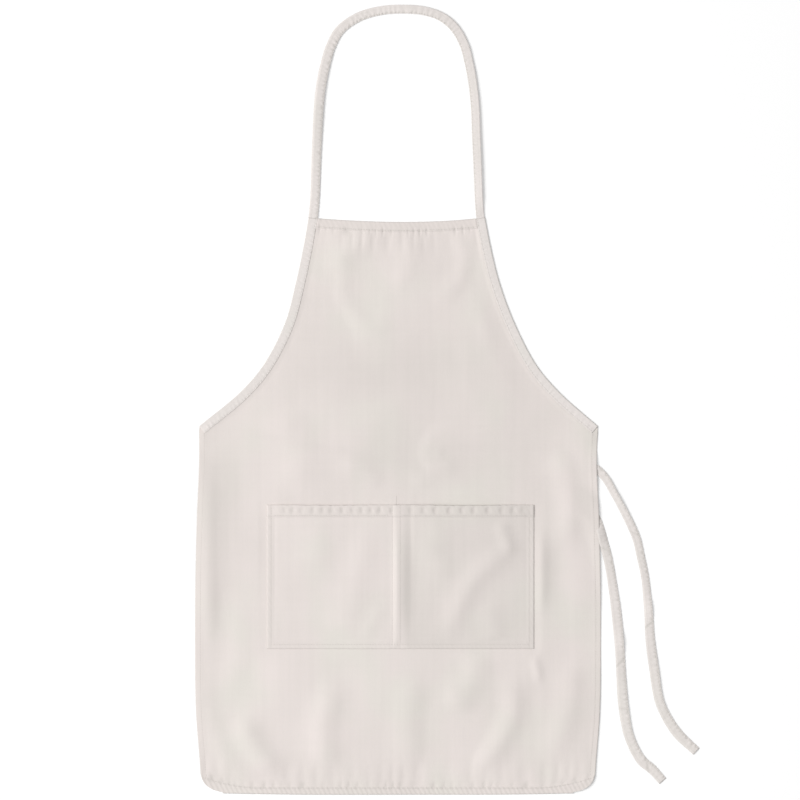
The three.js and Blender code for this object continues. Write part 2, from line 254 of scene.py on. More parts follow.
# The ties' routes on the table, in millimetres: under the apron, out past its right edge and down. They match
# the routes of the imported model.
RIGHT_TIE = [
    (230, -44), (200, -46.5), (160, -46), (110, -45), (72, -45), (50, -51), (42, -66), (50, -81), (72, -87),
    (110, -87), (160, -85), (200, -82), (228, -82), (243, -84.5), (256, -97), (266, -114.5), (278, -136.4),
    (294, -169.8), (300, -194.5), (305.6, -220.4), (310.5, -266), (312.4, -297), (316.7, -330.3),
    (323.5, -369.8), (332, -389.5), (346.6, -411.8), (369, -434),
]
LEFT_TIE = [
    (-232, -47), (-205, -52), (-160, -61), (-110, -71), (-60, -81), (0, -92), (60, -102), (110, -108.5),
    (160, -114), (200, -120), (226, -128), (242, -142), (250, -161), (255, -180), (260, -199), (265.5, -229),
    (271, -266), (274.7, -309), (277, -346), (280, -379.7), (287, -416.7), (301, -445), (313.6, -456),
    (327, -471),
]
right_tie_line = smooth_line(np.array(RIGHT_TIE) * MM, 1.5 * MM)
left_tie_line = smooth_line(np.array(LEFT_TIE) * MM, 1.5 * MM)

# ---- Camera and light ----

view_width = 987.8 * MM  # how much of the table the camera takes in
camera_height = 6.0
camera_place = (2.5 * MM, -0.6 * MM, camera_height)
sensor = 36.0
world_strength = 0.37


def new_object(name, data):
    """An object of the scene that holds the given data."""
    item = bpy.data.objects.new(name, data)
    bpy.context.scene.collection.objects.link(item)
    return item


def make_camera():
    """A long lens straight above the apron."""
    data = bpy.data.cameras.new("camera")
    data.sensor_width = sensor
    data.lens = sensor * camera_height / view_width
    data.clip_end = 50
    camera = new_object("camera", data)
    camera.location = camera_place
    bpy.context.scene.camera = camera


def area_light(name, size, power, place):
    """A square soft light aimed at the middle of the table."""
    data = bpy.data.lights.new(name, "AREA")
    data.shape = "SQUARE"
    data.size = size
    data.energy = power
    light = new_object(name, data)
    light.location = place
    light.rotation_euler = (-Vector(place)).to_track_quat("-Z", "Y").to_euler()


def set_inputs(node, values):
    """Sets a node's constant inputs by name."""
    for name, value in values.items():
        node.inputs[name].default_value = value


make_camera()
area_light("key_light", size=4.6, power=545, place=(-5.4, 0.6, 4.9))
area_light("fill_light", size=3.0, power=40, place=(2.6, -1.2, 3.6))
world = bpy.data.worlds.new("studio")
bpy.context.scene.world = world
world.use_nodes = True
set_inputs(world.node_tree.nodes["Background"], {"Color": (1, 1, 1, 1), "Strength": world_strength})
bpy.context.scene.view_settings.view_transform = "Standard"


# ---- Materials ----

# Each material's lightest and deepest colour, in linear red, green and blue.
TWILL_COLOURS = ((0.728, 0.684, 0.650), (0.620, 0.577, 0.546))
TAPE_COLOURS = ((0.735, 0.704, 0.674), (0.625, 0.592, 0.561))
THREAD_COLOURS = ((0.71, 0.667, 0.635), (0.57, 0.527, 0.495))
# What the light colour is multiplied by in the warmer and in the greyer patches of cloth.
WARMER = (1.014, 0.987, 0.997)
GREYER = (0.98, 0.993, 0.972)
gather_pitch = 5.2 * MM


def new_material(name, settings):
    """A material, its node tree and its shader, whose constant inputs are set by name."""
    material = bpy.data.materials.new(name)
    material.use_nodes = True
    shader = material.node_tree.nodes["Principled BSDF"]
    set_inputs(shader, settings)
    return material, material.node_tree, shader


def math_node(tree, operation, a, b, clamp=False):
    """One Math node of two inputs, each a number or another node's output."""
    node = tree.nodes.new("ShaderNodeMath")
    node.operation = operation
    node.use_clamp = clamp
    for socket, value in zip(node.inputs, (a, b)):
        if isinstance(value, (int, float)):
            socket.default_value = value
        else:
            tree.links.new(value, socket)
    return node.outputs[0]


def times(tree, a, b):
    """The product of two inputs."""
    return math_node(tree, "MULTIPLY", a, b)


def plus(tree, a, b, clamp=False):
    """The sum of two inputs, kept between 0 and 1 if it is clamped."""
    return math_node(tree, "ADD", a, b, clamp)


def placed(tree, where, scale, turn=0.0):
    """Flat coordinates, scaled across and along and turned in their own plane."""
    node = tree.nodes.new("ShaderNodeMapping")
    set_inputs(node, {"Scale": scale + (0,), "Rotation": (0, 0, turn)})
    tree.links.new(where, node.inputs["Vector"])
    return node.outputs[0]


def noise(tree, where, scale, detail, rough=0.5, turn=0.0):
    """Soft noise from 0 to 1, drawn over scaled coordinates."""
    node = tree.nodes.new("ShaderNodeTexNoise")
    set_inputs(node, {"Scale": 1.0, "Detail": detail, "Roughness": rough})
    tree.links.new(placed(tree, where, scale, turn), node.inputs["Vector"])
    return node.outputs["Fac"]


def ribs(tree, where, pitch, turn, unevenness):
    """Parallel ridges of a given pitch in metres, as a sine from 0 to 1, a little uneven."""
    node = tree.nodes.new("ShaderNodeTexWave")
    node.wave_type = "BANDS"
    node.bands_direction = "X"
    set_inputs(node, {"Scale": 1.0, "Distortion": unevenness, "Detail": 1.5, "Detail Scale": 0.35})
    step = 2 * math.pi / 20 / pitch
    tree.links.new(placed(tree, where, (step, step), turn), node.inputs["Vector"])
    return node.outputs["Fac"]


def mixed(tree, factor, a, b):
    """A colour between two, each a colour or another node's output."""
    node = tree.nodes.new("ShaderNodeMix")
    node.data_type = "RGBA"
    tree.links.new(factor, node.inputs[0])
    for socket, value in ((node.inputs[6], a), (node.inputs[7], b)):
        if isinstance(value, tuple):
            socket.default_value = value
        else:
            tree.links.new(value, socket)
    return node.outputs[2]


def attribute(tree, name):
    """A number kept at each of the mesh's points."""
    node = tree.nodes.new("ShaderNodeAttribute")
    node.attribute_name = name
    return node.outputs["Fac"]


def add_bump(tree, shader, height, strength, distance):
    """Tilts a shader's normals as a relief would, 0 to 1 standing for a distance in metres."""
    bump = tree.nodes.new("ShaderNodeBump")
    set_inputs(bump, {"Strength": strength, "Distance": distance})
    tree.links.new(height, bump.inputs["Height"])
    tree.links.new(bump.outputs["Normal"], shader.inputs["Normal"])


def patchy(tree, where, light):
    """The light colour, drifting slowly between a warmer and a greyer one."""
    hue = tree.nodes.new("ShaderNodeMapRange")
    hue.interpolation_type = "SMOOTHSTEP"
    set_inputs(hue, {"From Min": 0.42, "From Max": 0.72})
    tree.links.new(noise(tree, where, (11, 9), 2, turn=0.7), hue.inputs["Value"])
    ends = [tuple(part * share for part, share in zip(light, tint)) + (1,) for tint in (WARMER, GREYER)]
    return mixed(tree, hue.outputs[0], *ends)


def woven(name, colours, pitch, rib_turn, gather_turn, mottle, streak=1.0, uses_uv=False):
    """Matt cotton twill: slanting ribs over fine warp and weft, long faint streaks along the warp, and slow
    patches of warmer and greyer tone. The piece's own 'shade' attribute deepens or lightens its colour, as
    painted shade and painted light with a little of the cloth's own tone; its 'gather' attribute brings out
    the small slant gathers that a row of stitches draws in the cloth, in relief and as painted light and
    shade on their ridges and hollows."""
    material, tree, shader = new_material(name, {
        "Roughness": 0.93, "Specular IOR Level": 0.18, "Sheen Weight": 0.12, "Sheen Roughness": 0.55})
    where = tree.nodes.new("ShaderNodeTexCoord").outputs["UV" if uses_uv else "Object"]
    rib = ribs(tree, where, pitch, rib_turn, 0.5)
    warp = ribs(tree, where, pitch * 0.56, 0, 0.8)
    weft = ribs(tree, where, pitch * 0.62, math.pi / 2, 0.8)
    grain = plus(tree, times(tree, rib, 0.6), times(tree, times(tree, warp, weft), 0.4))
    slub = noise(tree, where, (1400, 160), 3)
    layers = [
        (slub, 0.3),
        (noise(tree, where, (130, 5), 4, 0.6), 0.5 * streak),
        (noise(tree, where, (6, 180), 3, 0.6), 0.16 * streak),
        (noise(tree, where, (9, 7), 3, 0.55), 0.9),
        (noise(tree, where, (520, 380), 2, 0.6), mottle),
    ]
    tone = plus(tree, times(tree, grain, 0.16), 0.18)
    for source, amount in layers:
        tone = plus(tree, tone, times(tree, plus(tree, source, -0.5), amount))
    drawn = plus(tree, ribs(tree, where, gather_pitch, gather_turn, 3.0), -0.5)
    gather = times(tree, drawn, attribute(tree, "gather"))
    # painted light and shade along the gathers' ridges and hollows, beside their relief in the bump below
    tone = plus(tree, tone, times(tree, gather, -0.5))
    # the 'shade' attribute: painted shade and painted light
    tone = plus(tree, tone, attribute(tree, "shade"), clamp=True)
    light, dark = colours
    colour = mixed(tree, tone, patchy(tree, where, light), dark + (1,))
    tree.links.new(colour, shader.inputs["Base Color"])
    fuzz = plus(tree, plus(tree, grain, times(tree, slub, 0.5)), times(tree, gather, 3.2))
    add_bump(tree, shader, fuzz, 0.55, 0.12 * MM)
    return material


def spun_thread(name, colours):
    """Matt spun sewing thread: a tight twist along the piece's own length, read from its UV map."""
    material, tree, shader = new_material(name, {
        "Roughness": 0.78, "Specular IOR Level": 0.25, "Sheen Weight": 0.1})
    where = tree.nodes.new("ShaderNodeTexCoord").outputs["UV"]
    twist = ribs(tree, where, 0.45 * MM, 0.9, 0.4)
    tone = plus(tree, times(tree, twist, 0.5), times(tree, noise(tree, where, (700, 700), 2), 0.5))
    light, dark = colours
    tree.links.new(mixed(tree, tone, light + (1,), dark + (1,)), shader.inputs["Base Color"])
    add_bump(tree, shader, twist, 0.5, 0.06 * MM)
    return material


twill = woven("natural_twill", TWILL_COLOURS, pitch=0.9 * MM, rib_turn=math.radians(-27),
              gather_turn=math.radians(-28), mottle=0.12)
tape_twill = woven("folded_tape", TAPE_COLOURS, pitch=0.7 * MM, rib_turn=math.radians(40),
                   gather_turn=math.radians(62), mottle=0.7, streak=0.5, uses_uv=True)
thread = spun_thread("cotton_thread", THREAD_COLOURS)


def make_table():
    """A plain white table top, just under the cloth, faintly lit from inside so shadows on it stay pale."""
    data = bpy.data.meshes.new("table_top")
    reach = 6.0
    low = -0.15 * MM
    corners = [(-reach, -reach, low), (reach, -reach, low), (reach, reach, low), (-reach, reach, low)]
    data.from_pydata(corners, [], [(0, 1, 2, 3)])
    material = new_material("white_table", {
        "Base Color": (0.80, 0.80, 0.80, 1), "Roughness": 0.9, "Specular IOR Level": 0.0,
        "Emission Color": (1, 1, 1, 1), "Emission Strength": 0.155})[0]
    data.materials.append(material)
    new_object("table_top", data)


make_table()


# ---- Meshes ----

def make_mesh(name, vertices, faces, material, shade=None, uv=None, gather=None):
    """A mesh object from whole arrays. shade and gather are one number a vertex; uv is one pair a vertex.
    Faces of more than four corners are end caps and stay flat; all the others are smooth."""
    data = bpy.data.meshes.new(name)
    faces = [np.asarray(f, np.int64) for f in faces]
    counts = np.concatenate([np.full(len(f), f.shape[1]) for f in faces])
    corners = np.concatenate([f.ravel() for f in faces])
    data.vertices.add(len(vertices))
    data.vertices.foreach_set("co", np.ascontiguousarray(vertices, np.float32).ravel())
    data.loops.add(len(corners))
    data.loops.foreach_set("vertex_index", corners.astype(np.int32))
    data.polygons.add(len(counts))
    starts = np.concatenate([[0], np.cumsum(counts)[:-1]])
    data.polygons.foreach_set("loop_start", starts.astype(np.int32))
    data.polygons.foreach_set("use_smooth", counts <= 4)
    data.update(calc_edges=True)
    for attribute_name, values in (("shade", shade), ("gather", gather)):
        if values is not None:
            layer = data.attributes.new(attribute_name, "FLOAT", "POINT")
            layer.data.foreach_set("value", np.asarray(values, np.float32).ravel())
    if uv is not None:
        layer = data.uv_layers.new(name="UVMap")
        layer.data.foreach_set("uv", np.asarray(uv, np.float32).reshape(-1, 2)[corners].ravel())
    data.validate()
    data.materials.append(material)
    return new_object(name, data)


def grid_faces(rows, columns, start=0, around=False):
    """Quads between neighbours of a grid of vertices; around joins the last column to the first."""
    index = np.arange(rows * columns).reshape(rows, columns) + start
    if around:
        index = np.hstack([index, index[:, :1]])
    a, b, c, d = index[:-1, :-1], index[:-1, 1:], index[1:, 1:], index[1:, :-1]
    return np.stack([a.ravel(), b.ravel(), c.ravel(), d.ravel()], 1)


def sheet_mesh(name, front, back, material, shade, gather):
    """A closed sheet: a front grid facing up, a back grid facing down, and a wall between their edges.
    Rows of the grids run down the sheet and columns run to the right."""
    rows, columns = front.shape[:2]
    count = rows * columns
    top = grid_faces(rows, columns)[:, ::-1]
    under = grid_faces(rows, columns, count)
    index = np.arange(count).reshape(rows, columns)
    rim = np.concatenate([index[0], index[1:, -1], index[-1, -2::-1], index[-2:0:-1, 0]])
    following = np.roll(rim, -1)
    wall = np.stack([rim, following, following + count, rim + count], 1)
    vertices = np.vstack([front.reshape(-1, 3), back.reshape(-1, 3)])
    shade, gather = [np.tile(np.ravel(values), 2) for values in (shade, gather)]
    return make_mesh(name, vertices, [top, under, wall], material, shade, gather=gather)


def tube_mesh(name, rings, material, uv, shade, gather):
    """A closed tube: rings of vertices carried along a path, and a flat face at each end."""
    count, sides = rings.shape[:2]
    walls = grid_faces(count, sides, around=True)
    first = np.arange(sides)[None, ::-1]
    last = (np.arange(sides) + (count - 1) * sides)[None]
    return make_mesh(name, rings.reshape(-1, 3), [walls, first, last], material, shade, uv, gather)


# ---- The ties ----

def tape_section():
    """A flat section with rounded edges, counted round from its left edge over the top: places across from 1
    to -1 and back, and heights that stay near 1 and drop at the edges as a sixth-power oval."""
    half = np.array([1, 0.985, 0.94, 0.86, 0.76, 0.66, 0.5, 0.3, 0.1])
    over = np.concatenate([half, -half[::-1]])
    across = np.concatenate([over, over[-2:0:-1]])
    up = np.sqrt(1 - np.abs(across) ** 6)
    up[len(over):] *= -1
    return across, up


dip_pitch = 5.2 * MM  # between the dips beside a tape's sewn row


def wobble(s, pitch, seed):
    """An uneven wave along a line: a cosine whose phase is pushed about by two slower sines."""
    slow = 0.32 * np.sin(2 * math.pi * s / (pitch * 5.3) + seed)
    slower = 0.5 * np.sin(2 * math.pi * s / (pitch * 11.7) + 2.3 * seed)
    return np.cos(2 * math.pi * (s / pitch + slow + slower))


def tape_crease(sewn):
    """A faint crease along a tape on its folded side, as a bell across it."""
    return bell(tape_section()[0] + 0.4 * np.sign(sewn), 0.12)


def tape_rings(line, width, thick, roll, base, seed, sewn, crown):
    """Rings of a folded tape along a flat line. Each ring is the tape's section turned by the roll angle
    about the line and raised until its lower edge rests on the base. The top dips along the sewn row and in
    small uneven puckers beside it, and crown is the height of a lengthwise ridge towards its folded side."""
    pucker = 0.32 * MM
    s = travelled(line[:, :2])
    across, up = tape_section()
    left = left_of(line)
    half = (width / 2)[:, None] * across
    beside = bell(across - sewn, 0.34)
    dip = pucker * wobble(s, dip_pitch, seed)[:, None] * beside
    dip = dip + 0.5 * pucker * wobble(s, 8.1 * MM, seed + 2)[:, None] * (1 - across**2)
    groove = 0.2 * MM * bell(across - sewn, 0.1)
    dip = dip - groove - 0.16 * MM * tape_crease(sewn)
    fall = np.where(across * sewn < -0.342, 0.55, 1.35)
    ridge = np.maximum(1 - np.abs(across + 0.45 * np.sign(sewn)) / fall, 0)
    high = thick / 2 * up + np.where(up > 0.2, dip, 0) + np.reshape(crown, (-1, 1)) * ridge
    turn_c, turn_s = np.cos(roll)[:, None], np.sin(roll)[:, None]
    side, rise = half * turn_c - high * turn_s, half * turn_s + high * turn_c
    rise = rise - rise.min(1, keepdims=True) + base[:, None]
    return np.stack([line[:, :1] + left[:, :1] * side, line[:, 1:2] + left[:, 1:] * side, rise], 2)


def tape_uv(line, width):
    """Metres across and along the tape, with the back's weave carried on beside the front's."""
    across, up = tape_section()
    s = travelled(line[:, :2])
    u = np.where(up >= 0, across, 2.2 - across) * width / 2
    shape = (len(s), len(across))
    return np.stack([np.broadcast_to(u, shape), np.broadcast_to(s[:, None], shape)], 2)


def sewn_vertex(sewn):
    """Which of the section's top points lies on the sewn row."""
    across, up = tape_section()
    return int(np.argmin(np.abs(across - sewn) + (up < 0)))


def tape_shade(line, sewn, seed):
    """Painted shade on a tape: along its sewn row, in the dips beside it, along its crease, where the
    stitches sink in, and at the edge that faces the light, which would else look burnt out; the edge on the
    far side is painted paler instead, as painted light."""
    s = travelled(line[:, :2])
    across = tape_section()[0]
    lit = 0.5 - 0.5 * left_of(line)[:, :1] * across
    tone = 0.35 * bell(across - sewn, 0.1) + (0.9 * lit - 0.3) * np.abs(across) ** 8
    dips = np.clip(-wobble(s, dip_pitch, seed), 0, 1)[:, None] * bell(across - 0.8 * sewn, 0.34)
    stitch_end_shade = np.clip(wobble(s, 3.4 * MM, seed + 5), 0, 1)[:, None] * bell(across - sewn, 0.16)
    return tone + 0.55 * dips + 0.3 * tape_crease(sewn) + 0.5 * stitch_end_shade


def tape_gather(shape, sewn):
    """Gathers run beside a tape's sewn row and fade out towards its folded side."""
    across, up = tape_section()
    return np.broadcast_to(np.where(up > 0, 0.55 * bell(across - sewn * 0.8, 0.5), 0.2), shape)


def bumps_at(s, marks):
    """A sum of smooth bumps along a line, each given as (where, reach, height)."""
    return sum(height * bell(s - where, reach) for where, reach, height in marks)


def stitch_arrays(line, heights, pitch=stitch_pitch, length=stitch_length, first=1.5 * MM):
    """Vertices, faces and UVs of a row of stitches on a line: each one is a short arched sausage of thread
    whose ends dive into the cloth. Its radius follows a sine from end to end, to a power below one."""
    s = travelled(line[:, :2])
    starts = np.arange(first, s[-1] - length, pitch)
    rings, sides = 5, 6
    t = np.linspace(0.0, 1.0, rings)
    at = starts[:, None] + t * length
    place = np.stack([np.interp(at, s, line[:, i]) for i in range(2)], -1)
    normals = left_of(line)
    left = np.stack([np.interp(at, s, normals[:, i]) for i in range(2)], -1)
    floor = np.interp(at, s, heights)
    swell = (0.35 + 0.65 * np.sin(math.pi * t) ** 0.5)
    dive = -0.55 * thread_high * (1 - np.sin(math.pi * t) ** 0.6)
    angle = np.linspace(0, 2 * math.pi, sides, endpoint=False)
    side = np.cos(angle) * thread_wide / 2 * swell[:, None]
    rise = (np.sin(angle) * 0.5 + 0.28) * thread_high * 1.25 * swell[:, None] + dive[:, None]
    vertices = np.empty((len(starts), rings, sides, 3))
    vertices[..., :2] = place[:, :, None, :] + left[:, :, None, :] * side[None, :, :, None]
    vertices[..., 2] = floor[:, :, None] + rise[None]
    wall = grid_faces(rings, sides, around=True)
    offset = (np.arange(len(starts)) * rings * sides)[:, None, None]
    walls = (wall[None] + offset).reshape(-1, 4)
    caps = np.stack([np.arange(sides)[::-1], np.arange(sides) + (rings - 1) * sides])
    caps = (caps[None] + offset).reshape(-1, sides)
    uv = np.stack(np.broadcast_arrays((angle / math.pi * thread_wide)[None, None, :], at[:, :, None]), -1)
    return vertices.reshape(-1, 3), [walls, caps], uv.reshape(-1, 2)


def make_stitches(name, line, heights, node=None, body="apron", **spacing):
    """A row of stitches as a piece of its own, standing for a row of the CAD model."""
    vertices, faces, uv = stitch_arrays(line, heights, **spacing)
    piece = make_mesh(name, vertices, faces, thread, uv=uv)
    if node:
        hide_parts(node)
    if body:
        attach(piece, body)
    return piece


def square_end(rings, reach, line):
    """Presses the last few rings of a tape thinner, so that it ends in a neat folded edge."""
    s = travelled(line[:, :2])
    pinch = (0.45 + 0.55 * quarter_round(s[-1] - s, reach))[:, None]
    middle = rings[:, :, 2].mean(1, keepdims=True)
    rings[:, :, 2] = middle + (rings[:, :, 2] - middle) * pinch
    return rings


def make_tie(name, line, node, widths, rolls, creases, seed):
    """A tie: a folded tape along its route, sewn along one edge, with the row of stitches in the same mesh.
    A crease is a slanting dip across the tape where it twists, with painted shade in it: (place along y,
    slant, depth of relief and painted shade)."""
    s = travelled(line)
    width = tie_width + bumps_at(s, widths)
    past_edge = ease(s, 0.42, 0.5)
    drift = bumps_at(s, [(0.62, 0.06, 0.9 * MM), (0.74, 0.06, 1.5 * MM)])
    line = line - left_of(line) * (drift * past_edge)[:, None]
    crown = 0.45 * MM * past_edge * (0.5 + 0.5 * np.sin(s / (31 * MM) + seed))
    rings = tape_rings(line, width, tie_thick, bumps_at(s, rolls), np.zeros(len(s)), seed, sewn_share, crown)
    rings = square_end(rings, 1.2 * MM, line)
    across, up = tape_section()
    dip = sum(depth * bell(line[:, 1:] - place - slant * across, 1.4 * MM)
              for place, slant, depth in creases)
    rings[:, :, 2] -= 0.35 * MM * dip * np.clip(up, 0, 1)
    # painted shade in the creases, on top of the tape's own painted shade
    shade = tape_shade(line, sewn_share, seed) + dip
    gather = tape_gather(rings.shape[:2], sewn_share)
    tie = tube_mesh(name, rings, tape_twill, tape_uv(line, tie_width), shade, gather)
    row = rings[:, sewn_vertex(sewn_share)]
    tie = add_second(tie, *stitch_arrays(row[:, :2], row[:, 2]), thread)
    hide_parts(node)
    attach(tie, "apron")
    return tie


def add_second(piece, vertices, faces, uv, material):
    """Adds closed bodies of a second material to a piece's mesh, such as stitches sewn into a tape."""
    none = np.zeros(len(vertices))
    extra = make_mesh(piece.name + "_extra", vertices, faces, material, none, uv, none)
    name = piece.name
    bpy.ops.object.select_all(action="DESELECT")
    extra.select_set(True)
    piece.select_set(True)
    bpy.context.view_layer.objects.active = piece
    bpy.ops.object.join()
    piece.name = name
    return piece


# Widths and rolls: where along the tie, how far each way, and how much wider in metres or turned in radians.
make_tie("tie_right_tape", right_tie_line, "tie_right",
         widths=[(0.46, 0.035, -1.6 * MM), (0.56, 0.04, -1.0 * MM), (0.665, 0.05, 1.4 * MM),
                 (0.76, 0.03, 1.8 * MM)],
         rolls=[(0.46, 0.03, 0.2), (0.60, 0.012, 0.14), (0.70, 0.04, 0.08)],
         creases=[(-0.278, 4 * MM, 1.3), (-0.165, -5 * MM, 0.6), (-0.39, 3 * MM, 0.5)], seed=1.7)
make_tie("tie_left_tape", left_tie_line, "tie_left",
         widths=[(0.53, 0.02, 0.8 * MM), (0.62, 0.04, 1.5 * MM), (0.72, 0.05, 1.9 * MM),
                 (0.80, 0.03, 1.6 * MM)],
         rolls=[(0.515, 0.012, -0.25), (0.648, 0.012, 0.16), (0.74, 0.04, 0.08)],
         creases=[(-0.325, 5 * MM, 1.2), (-0.382, -2 * MM, 0.7), (-0.452, 4 * MM, 0.8),
                  (-0.185, -4 * MM, 0.6)], seed=4.1)

# ---- The cloth's relief ----

# Soft folds pressed into the cloth: points along each one, half its width and its height, in millimetres.
PANEL_FOLDS = [
    ([(137, -330), (142, -385), (124, -425), (80, -470)], 15, 3.4),
    ([(100, -300), (96, -335), (58, -392)], 20, 3.0),
    ([(-196, -385), (-180, -425), (-144, -470)], 16, 3.2),
    ([(-243, -320), (-241, -385), (-214, -440), (-172, -476)], 17, 2.4),
    ([(-70, -340), (-92, -400), (-84, -474)], 18, 3.2),
    ([(-239, -60), (-238, -200), (-232, -330)], 13, 3.8),
    ([(-206, -230), (-200, -320), (-222, -390)], 18, 1.5),
    ([(172, -150), (176, -215), (172, -275)], 10, 2.0),
    ([(167, -314), (176, -352)], 6, 1.4),
    ([(56, 212), (84, 188), (78, 150), (38, 116)], 13, 1.9),
    ([(-10, 214), (-50, 192), (-88, 152)], 15, 2.0),
    ([(-54, 178), (-68, 132), (-34, 88), (4, 104)], 13, 1.3),
    ([(22, 208), (10, 160), (-6, 126)], 15, 1.3),
    ([(98, 166), (104, 110), (126, 56)], 15, 1.2),
    ([(-98, 14), (0, 28), (98, 20)], 26, -1.5),
    ([(-156, 0), (-122, -60), (-134, -125)], 26, 2.6),
    ([(192, -40), (210, -120), (202, -200)], 18, 2.8),
    ([(26, -325), (12, -400), (18, -470)], 20, 2.3),
    ([(216, -310), (208, -390), (180, -462)], 16, 2.0),
    ([(-16, -114), (-42, -88), (-78, -80)], 12, 1.2),
    ([(14, -114), (42, -90), (80, -84)], 12, 1.1),
]
POCKET_FOLDS = [
    ([(158, -172), (108, -208), (84, -238), (58, -302)], 14, 2.5),
    ([(124, -146), (141, -196)], 9, 1.5),
    ([(-30, -140), (-50, -215), (-74, -308)], 18, 1.5),
    ([(-158, -230), (-153, -306)], 4, 1.3),
    ([(62, -142), (46, -186), (66, -230)], 17, 1.3),
    ([(110, -246), (122, -306)], 15, 1.2),
    ([(-96, -142), (-100, -215)], 18, 0.8),
    ([(-18, -250), (-44, -300)], 10, 0.7),
]
# Slow waves over the whole cloth: waves a metre in X and in Y, where they start, and their height.
WAVES = [(3.1, 1.4, 0.4, 0.8), (-2.2, 3.3, 1.9, 0.6), (6.3, -2.1, 3.0, 0.4), (1.2, 6.8, 5.1, 0.3),
         (9.5, 4.7, 0.9, 0.2), (-8.2, 8.9, 2.2, 0.16)]


def fold_relief(x, y, folds):
    """The sum of soft folds: each is a bell-shaped ridge across its line that fades in and out along it."""
    total = np.zeros(np.shape(x))
    for points, reach, height in folds:
        line = smooth_line(np.array(points, float) * MM, 6 * MM)
        gap, along = distance_to(x, y, line)
        share = along / travelled(line)[-1]
        fade = ease(share, 0.0, 0.3) * (1 - ease(share, 0.7, 1.0))
        total += height * MM * fade * bell(gap, reach * MM)
    return total


def wave_relief(x, y):
    """The sum of slow straight waves."""
    return sum(high * MM * np.sin(2 * math.pi * (x * a + y * b) + start) for a, b, start, high in WAVES)


def lifted(height):
    """Never below nought: the mean of a height and its own size, with the turn rounded."""
    return (height + np.sqrt(height**2 + (0.25 * MM) ** 2)) / 2


def tie_ridge(x, y):
    """How far the cloth is lifted where it lies over a tie: level above the tape, then a soft slope down."""
    near = np.minimum(distance_to(x, y, right_tie_line)[0], distance_to(x, y, left_tie_line)[0])
    return (tie_thick + 0.15 * MM) * (1 - ease(near, tie_width / 2 + 0.8 * MM, tie_width / 2 + 17 * MM))


def puckers(s, gap, pitch, seed, reach, depth):
    """Small gathers beside a row of stitches: narrow dips across it that fade out with distance."""
    wave = wobble(s, pitch, seed)
    strength = 0.7 + 0.3 * np.sin(2 * math.pi * s / (pitch * 7.1) + seed)
    return -depth * strength * (0.5 + 0.5 * wave) ** 2 * bell(gap, reach)


def dents(s, gap, pitch, seed, reach):
    """Separate small dents beside a row of stitches, 1 deep at most: narrow along it and longer across."""
    wave = np.clip(0.5 + 0.5 * wobble(s, pitch, seed), 0, 1) ** 5
    strength = 0.62 + 0.38 * np.sin(2 * math.pi * s / (pitch * 4.3) + 3 * seed)
    return -strength * wave * bell(gap, reach)


def bottom_seam(x):
    """Height on the apron of the bottom hem's stitches: level along the middle, and rising as a square
    towards each corner, so that the hem runs out at the side edges."""
    level = 0.168
    return bottom_edge + bottom_seam_up + 2.5 * np.maximum(np.abs(x) - level, 0) ** 2


# Wide, soft patches of painted shade, and of painted light where the depth is below nought: each one's
# middle and its reach each way, in millimetres, and how deep.
PAINTED_LIGHT_AND_SHADE = [
    (22, 34, 105, 46, 0.48),
    (36, -72, 95, 42, 0.26),
    (-228, -112, 26, 115, 0.48),
    (-226, -330, 20, 130, 0.2),
    (185, -190, 15, 95, 0.45),
    (213, -215, 17, 135, -0.3),
    (-170, -360, 80, 110, -0.1),
]


